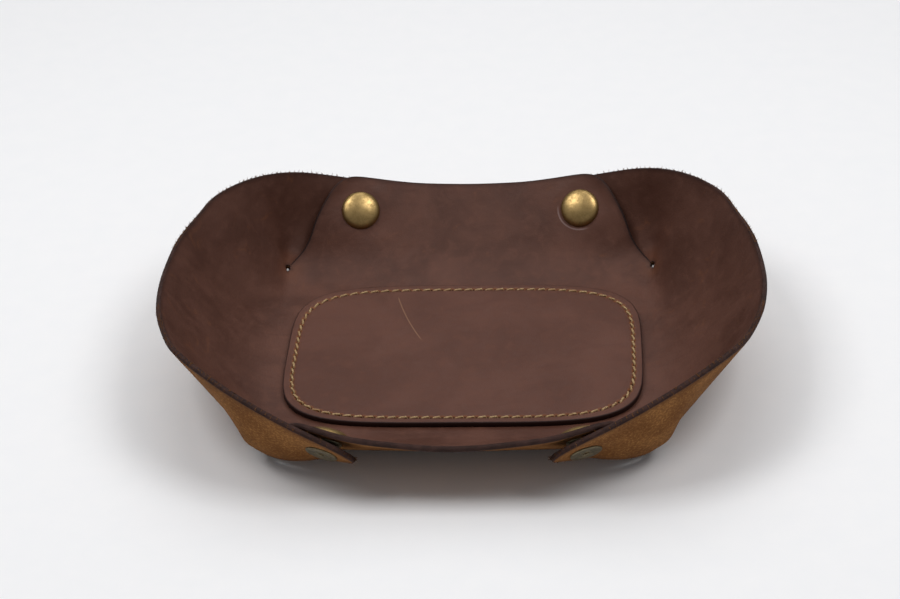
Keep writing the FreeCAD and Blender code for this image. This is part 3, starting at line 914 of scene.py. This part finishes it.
class Shader:
    """Adds nodes to one material and links them."""

    def __init__(self, name):
        self.material = bpy.data.materials.new(name)
        self.material.use_nodes = True
        self.tree = self.material.node_tree
        self.tree.nodes.clear()
        self.surface = self.add("ShaderNodeBsdfPrincipled")
        self.output = self.add("ShaderNodeOutputMaterial")
        self.put(self.output, "Surface", self.surface.outputs[0])

    def add(self, kind, **settings):
        node = self.tree.nodes.new(kind)
        for key, value in settings.items():
            setattr(node, key, value)
        return node

    def put(self, node, key, value):
        socket = node.inputs[key]
        if isinstance(value, bpy.types.NodeSocket):
            self.tree.links.new(value, socket)
        elif isinstance(value, tuple) and len(value) == 3 and socket.type == "RGBA":
            socket.default_value = (*value, 1.0)
        else:
            socket.default_value = value

    def fill(self, node, **values):
        for key, value in values.items():
            self.put(node, key.replace("_", " "), value)
        return node.outputs[0]

    def set(self, **values):
        self.fill(self.surface, **values)

    def attribute(self, name, output="Fac"):
        return self.add("ShaderNodeAttribute", attribute_name=name).outputs[output]

    def math(self, operation, a, b=0.0, c=0.0, clamp=False):
        node = self.add("ShaderNodeMath", operation=operation, use_clamp=clamp)
        for key, value in enumerate((a, b, c)):
            self.put(node, key, value)
        return node.outputs[0]

    def vector(self, operation, a, b=(0.0, 0.0, 0.0)):
        node = self.add("ShaderNodeVectorMath", operation=operation)
        self.put(node, 0, a)
        self.put(node, 1, b)
        return node.outputs["Value" if operation in ("LENGTH", "DISTANCE", "DOT_PRODUCT") else "Vector"]

    def scaled(self, vector, factor):
        node = self.add("ShaderNodeMapping")
        return self.fill(node, Vector=vector, Scale=factor)

    def noise(self, vector, size, detail=3.0, roughness=0.5, distortion=0.0):
        """Noise from 0 to 1 whose features are about size across, in the vector's unit."""
        node = self.add("ShaderNodeTexNoise")
        return self.fill(node, Vector=vector, Scale=1.0 / size, Detail=detail,
                         Roughness=roughness, Distortion=distortion)

    def cells(self, vector, size, feature):
        node = self.add("ShaderNodeTexVoronoi", feature=feature)
        self.fill(node, Vector=vector, Scale=1.0 / size)
        return node.outputs["Distance"]

    def step(self, value, start, end, low=0.0, high=1.0):
        """Eased step of a value from low at start to high at end."""
        node = self.add("ShaderNodeMapRange", interpolation_type="SMOOTHSTEP")
        return self.fill(node, Value=value, From_Min=start, From_Max=end, To_Min=low, To_Max=high)

    def mix(self, factor, a, b, blend="MIX"):
        node = self.add("ShaderNodeMix", data_type="RGBA", blend_type=blend)
        for key, value in ((0, factor), (6, a), (7, b)):
            self.put(node, key, value)
        return node.outputs[2]

    def bump(self, height, distance, strength=1.0, normal=None):
        """Bump whose height of 1 stands for a distance in millimetres."""
        node = self.add("ShaderNodeBump")
        if normal is not None:
            self.put(node, "Normal", normal)
        return self.fill(node, Strength=strength, Distance=distance * MM, Height=height)


def srgb(red, green, blue):
    """Linear colour from display values of 0 to 255."""
    values = []
    for value in (red, green, blue):
        value /= 255
        values.append(value / 12.92 if value <= 0.04045 else ((value + 0.055) / 1.055) ** 2.4)
    return tuple(values)


def hole_distance(s, flat):
    """Distance in the flat sheet to the nearest corner hole."""
    folded = s.vector("ABSOLUTE", flat)
    folded = s.vector("MULTIPLY", folded, (1.0, 1.0, 0.0))
    return s.vector("DISTANCE", folded, (FOLD_LENGTH, FOLD_WIDTH, 0.0))


def leather_color(s, flat, size):
    """Waxed brown with soft clouds, darker streaks and lighter rubbed places."""
    large = s.noise(flat, size, 3.0, 0.55, 0.6)
    small = s.noise(flat, 5.0, 4.0, 0.6, 0.4)
    streaks = s.noise(s.scaled(flat, (0.35, 1.0, 1.0)), 9.0, 4.0, 0.6, 1.2)
    color = s.mix(s.step(large, 0.35, 0.68), srgb(76, 47, 37), srgb(91, 59, 48))
    color = s.mix(s.math("MULTIPLY", s.step(small, 0.45, 0.75), 0.45), color, srgb(101, 67, 55))
    color = s.mix(s.math("MULTIPLY", s.step(streaks, 0.52, 0.75), 0.3), color, srgb(64, 38, 30))
    return color, large, small


def leather_grain(s, flat, height_noise, wave):
    """Fine pores over gentle unevenness."""
    pores = s.cells(flat, 0.55, "DISTANCE_TO_EDGE")
    fine = s.noise(flat, 0.35, 2.0)
    height = s.math("ADD", s.math("MULTIPLY", s.step(pores, 0.0, 0.25), 0.6),
                    s.math("MULTIPLY", fine, 0.4))
    normal = s.bump(s.noise(flat, height_noise, 3.0, 0.5), wave, 0.7)
    return s.bump(height, 0.05, 0.6, normal)


def grain_leather():
    """Waxed smooth side of the sheet."""
    s = Shader("leather_grain")
    flat = s.attribute("flat", "Vector")
    rim = s.attribute("rim")
    color, large, small = leather_color(s, flat, 28.0)
    # Darker towards the end walls and round corners: partly the leather's darker tone there, partly
    # painted shade on these steep faces
    past_fold = s.vector("SUBTRACT", s.vector("ABSOLUTE", flat), (FOLD_LENGTH - 30, FOLD_WIDTH, 2.0))
    past_fold = s.vector("LENGTH", s.vector("MAXIMUM", past_fold, (0.0, 0.0, 0.0)))
    color = s.mix(s.step(past_fold, 12.0, 45.0, 0.0, 0.2), color, srgb(60, 35, 27))
    off_hole = s.math("ADD", hole_distance(s, flat), s.math("MULTIPLY", small, 6.0))
    color = s.mix(s.step(off_hole, 3.0, 12.0, 0.25, 0.0), color, srgb(126, 76, 48))
    rubbed = s.noise(flat, 11.0, 5.0, 0.65, 0.8)
    color = s.mix(s.step(rubbed, 0.6, 0.78, 0.0, 0.4), color, srgb(120, 74, 46))
    # Painted highlight: a pale grey arc on one side of the ring round the back right snap, where its
    # crest would catch the light
    press = s.vector("SUBTRACT", flat, (SNAP_X, FOLD_WIDTH + SNAP_UP_WALL, HALF_LEATHER))
    off_press = s.math("ABSOLUTE", s.math("SUBTRACT", s.vector("LENGTH", press), PRESS_RADIUS))
    press_ring_highlight = s.math("MULTIPLY", s.step(off_press, 0.15, 0.45, 0.55, 0.0),
                  s.step(s.vector("DOT_PRODUCT", press, PRESS_HIGHLIGHT_SIDE), 3.5, 6.5))
    color = s.mix(press_ring_highlight, color, srgb(142, 120, 116))
    near_rim = s.math("ADD", rim, s.math("MULTIPLY", small, 1.6))
    color = s.mix(s.step(near_rim, 1.0, 3.2, 0.5, 0.0), color, srgb(50, 28, 22))
    s.set(Base_Color=color, Specular_IOR_Level=0.18)
    s.set(Roughness=s.step(s.mix(0.4, small, large), 0.3, 0.7, 0.44, 0.6))
    s.set(Normal=leather_grain(s, flat, 7.0, 0.5))
    return s.material


def flesh_leather():
    """Napped suede side of the sheet."""
    s = Shader("leather_flesh")
    flat = s.attribute("flat", "Vector")
    rim = s.attribute("rim")
    large = s.noise(flat, 14.0, 4.0, 0.6)
    speck = s.noise(flat, 0.9, 4.0, 0.65)
    color = s.mix(s.step(large, 0.35, 0.7), srgb(122, 80, 43), srgb(152, 106, 60))
    color = s.mix(s.step(speck, 0.42, 0.62), s.mix(0.5, color, srgb(78, 48, 27)), color)
    color = s.mix(s.step(speck, 0.58, 0.72, 0.0, 0.7), color, srgb(166, 122, 74))
    color = s.mix(s.step(rim, 0.5, 3.5, 0.6, 0.0), color, srgb(84, 54, 33))
    s.set(Base_Color=color, Roughness=0.95, Specular_IOR_Level=0.1)
    s.set(Normal=s.bump(speck, 0.25, 0.8))
    return s.material


def edge_leather():
    """Burnished cut edge, with painted shade up the slits near the corner holes."""
    s = Shader("leather_edge")
    flat = s.attribute("flat", "Vector")
    layers = s.noise(s.scaled(flat, (0.35, 0.35, 3.0)), 0.6, 3.0, 0.6)
    patches = s.noise(flat, 4.0, 3.0, 0.6)
    color = s.mix(s.step(patches, 0.35, 0.7), srgb(46, 31, 28), srgb(64, 45, 41))
    color = s.mix(s.step(layers, 0.5, 0.7, 0.0, 0.4), color, srgb(84, 60, 50))
    # Painted shade: the cut edges within about 40 mm of a corner hole, up the slits, are darkened as if
    # in shade
    color = s.mix(s.step(hole_distance(s, flat), 22.0, 44.0, 0.75, 0.0), color, srgb(28, 16, 15))
    s.set(Base_Color=color, Specular_IOR_Level=0.12)
    s.set(Roughness=s.step(patches, 0.3, 0.7, 0.6, 0.8))
    s.set(Normal=s.bump(layers, 0.18, 0.8))
    return s.material


def pad_leather():
    """Pad: as the sheet, with a dark burnished edge, stained stitch holes and painted shade inside each
    hole.
    """
    s = Shader("pad_leather")
    flat = s.attribute("flat", "Vector")
    inset = s.attribute("inset")
    off_hole = s.attribute("off_hole")
    color, _, small = leather_color(s, flat, 32.0)
    color = s.mix(0.35, color, srgb(93, 60, 50))
    stain = s.math("ADD", off_hole, s.math("MULTIPLY", small, 0.5))
    level = s.vector("MULTIPLY", flat, (1.0, 1.0, 0.0))
    off_scratch = s.vector("DISTANCE", level, SCRATCH_CENTRE)
    off_scratch = s.math("ABSOLUTE", s.math("SUBTRACT", off_scratch, SCRATCH_RADIUS))
    across = s.vector("DOT_PRODUCT", flat, (0.0, 1.0, 0.0))
    low, high = SCRATCH_SPAN
    scratch = s.math("MULTIPLY", s.step(across, low - 2, low + 1), s.step(across, high, high - 2))
    scratch = s.math("MULTIPLY", scratch, s.step(off_scratch, 0.08, 0.32, 0.5, 0.0))
    color = s.mix(scratch, color, srgb(146, 110, 84))
    off_line = s.math("ABSOLUTE", s.math("SUBTRACT", inset, STITCH_INSET))
    color = s.mix(s.step(off_line, 0.3, 1.1, 0.35, 0.0), color, srgb(126, 78, 46))
    color = s.mix(s.step(stain, 0.7, 1.6, 0.6, 0.0), color, srgb(134, 82, 44))
    # Painted shade: a dark dot in each stitch hole
    color = s.mix(s.step(off_hole, 0.4, 0.7, 0.9, 0.0), color, srgb(30, 17, 12))
    edge = s.math("ADD", inset, s.math("MULTIPLY", small, 0.3))
    color = s.mix(s.step(edge, 0.3, 0.8, 0.9, 0.0), color, srgb(34, 20, 19))
    s.set(Base_Color=color, Specular_IOR_Level=0.18)
    s.set(Roughness=s.step(small, 0.3, 0.7, 0.46, 0.6))
    s.set(Normal=leather_grain(s, flat, 9.0, 0.3))
    return s.material


def thread():
    s = Shader("thread")
    flat = s.attribute("flat", "Vector")
    strands = s.noise(flat, 0.35, 2.0)
    soiling = s.noise(flat, 6.0, 3.0)
    color = s.mix(s.step(strands, 0.35, 0.7), srgb(134, 106, 72), srgb(182, 156, 116))
    color = s.mix(s.step(soiling, 0.5, 0.75, 0.0, 0.5), color, srgb(138, 96, 58))
    s.set(Base_Color=color, Roughness=0.7, Specular_IOR_Level=0.25)
    s.set(Normal=s.bump(strands, 0.08, 0.6))
    return s.material


def brass(name, bright, dull, worn):
    """Antiqued metal whose patina gathers at the rim."""
    s = Shader(name)
    local = s.attribute("local", "Vector")
    cloud = s.noise(local, 2.2, 4.0, 0.6)
    fine = s.noise(local, 0.5, 3.0, 0.6)
    radius = s.vector("LENGTH", s.vector("MULTIPLY", local, (1.0, 1.0, 0.0)))
    tarnish = s.math("ADD", s.step(cloud, 0.35, 0.7, 0.0, 0.5), s.step(radius, 5.5, 7.2, 0.0, 0.3))
    tarnish = s.math("ADD", tarnish, s.step(fine, 0.5, 0.75, 0.0, 0.2), clamp=True)
    color = s.mix(tarnish, bright, dull)
    s.set(Base_Color=color, Metallic=1.0)
    s.set(Roughness=s.step(tarnish, 0.1, 0.9, worn, worn + 0.2))
    s.set(Normal=s.bump(fine, 0.03, 0.4))
    return s.material


def floor_material():
    s = Shader("floor")
    place = s.add("ShaderNodeNewGeometry").outputs["Position"]
    grain = s.noise(place, 0.01, 3.0)
    s.set(Base_Color=s.mix(grain, srgb(238, 239, 241), srgb(242, 242, 243)), Roughness=0.9,
          Specular_IOR_Level=0.2)
    # Far from the tray, where the lamps no longer reach, the camera and the metal see a pale floor
    rays = s.add("ShaderNodeLightPath").outputs
    seen = s.math("ADD", rays["Is Camera Ray"], rays["Is Glossy Ray"], clamp=True)
    far = s.step(s.vector("LENGTH", place), FLOOR_NEAR * MM, FLOOR_FAR * MM)
    glow = s.add("ShaderNodeEmission")
    s.put(glow, "Color", s.mix(grain, srgb(238, 239, 241), srgb(242, 243, 244)))
    blend = s.add("ShaderNodeMixShader")
    shares = (s.math("MULTIPLY", seen, far), s.surface.outputs[0], glow.outputs[0])
    for key, value in enumerate(shares):
        s.put(blend, key, value)
    s.put(s.output, "Surface", blend.outputs[0])
    return s.material


# Scene

def build_tray():
    grain, flesh, edge = grain_leather(), flesh_leather(), edge_leather()
    leather = build_leather([grain, flesh, edge])
    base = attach(leather["base"], "tray_base")
    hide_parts("base_panel", "left_end_wall", "right_end_wall")
    for side, sign in SIDES:
        wall = leather[side + "_wall"]
        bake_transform(wall)
        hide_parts(side + "_wall")
    seam = ruling(SEAM)
    sideways = unit(np.cross(ruling_normal(SEAM), seam))
    for side, sign_y in SIDES:
        for end, sign_x in ENDS:
            flap = leather[side + "_" + end + "_flap"]
            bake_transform(flap)
            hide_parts(side + "_" + end + "_flap")
    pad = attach(build_pad(pad_leather()), "tray_base")
    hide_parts("base_pad")
    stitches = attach(build_stitching(thread()), "tray_base")
    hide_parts("stitching")


def build_snaps():
    cap_metal = brass("cap_brass", srgb(182, 153, 102), srgb(120, 99, 61), 0.36)
    snap_metal = brass("snap_metal", srgb(122, 112, 88), srgb(76, 68, 52), 0.42)
    inner_metal = plain_metal()
    centre, axis = snap_frame()
    flap_centre, flap_axis = flap_snap_frame()
    for side, sign_y in SIDES:
        for end, sign_x in ENDS:
            corner = side + "_" + end
            seat = centre + axis * (HALF_LEATHER - SNAP_SINK)
            cap = lathe(corner + "_cap", cap_profile(), *placed(seat, axis, sign_x, sign_y, 1.0),
                        CAP_SEGMENTS, cap_metal)
            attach(cap, side + "_side")
            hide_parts(corner + "_snap_cap")
            seat = flap_centre - flap_axis * (HALF_LEATHER - SNAP_SINK)
            post = lathe(corner + "_post", post_profile(), *placed(seat, -flap_axis, sign_x, sign_y),
                         POST_SEGMENTS, snap_metal)
            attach(post, corner + "_corner")
            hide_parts(corner + "_snap_post")
            for node in ("_snap_socket", "_snap_stud"):
                obj = frame["nodes"][corner + node]
                obj.data.materials.clear()
                obj.data.materials.append(inner_metal)


def plain_metal():
    """The fasteners' metal for the pieces that the frame brings."""
    s = Shader("snap_metal_inner")
    place = s.scaled(s.add("ShaderNodeTexCoord").outputs["Object"], (1000.0,) * 3)
    cloud = s.noise(place, 1.6, 4.0, 0.6)
    s.set(Base_Color=s.mix(cloud, srgb(92, 88, 70), srgb(158, 152, 126)), Metallic=1.0)
    s.set(Roughness=s.step(cloud, 0.3, 0.7, 0.5, 0.34))
    s.set(Normal=s.bump(s.noise(place, 0.4, 2.0), 0.03, 0.4))
    return s.material


def build_stage():
    signs = ((-1, -1, 0), (1, -1, 0), (1, 1, 0), (-1, 1, 0))
    corners = FLOOR_HALF * np.array(signs)
    floor = make_mesh("floor", corners, [[0, 1, 2, 3]], None, [floor_material()])
    world = bpy.data.worlds.new("studio")
    bpy.context.scene.world = world
    world.use_nodes = True
    sky = world.node_tree.nodes["Background"].inputs
    sky["Color"].default_value = (*srgb(242, 241, 242), 1)
    sky["Strength"].default_value = SKY_STRENGTH
    for name, place, size, power in LAMPS:
        light = bpy.data.lights.new(name, "AREA")
        light.size = size * MM
        light.energy = power
        lamp = add_object(name, light)
        lamp.location = Vector(place) * MM
        lamp.rotation_euler = (-lamp.location).to_track_quat("-Z", "Y").to_euler()


def build_camera():
    """Camera at the photograph's viewing angle."""
    ahead = Vector(CAMERA_AHEAD).normalized()
    roll = math.radians(CAMERA_ROLL)
    right = ahead.cross(Vector(UP)).normalized()
    up = right.cross(ahead)
    right, up = (right * math.cos(roll) + up * math.sin(roll),
                 up * math.cos(roll) - right * math.sin(roll))
    data = bpy.data.cameras.new("camera")
    data.sensor_width = SENSOR_WIDTH
    data.lens = CAMERA_LENS
    camera = add_object("camera", data)
    turn = Matrix((right, up, -ahead)).transposed()
    camera.matrix_world = Matrix.Translation(CAMERA_PLACE) @ turn.to_4x4()
    bpy.context.scene.camera = camera


build_tray()
build_snaps()
build_stage()
build_camera()
bpy.context.scene.view_settings.view_transform = "Standard"
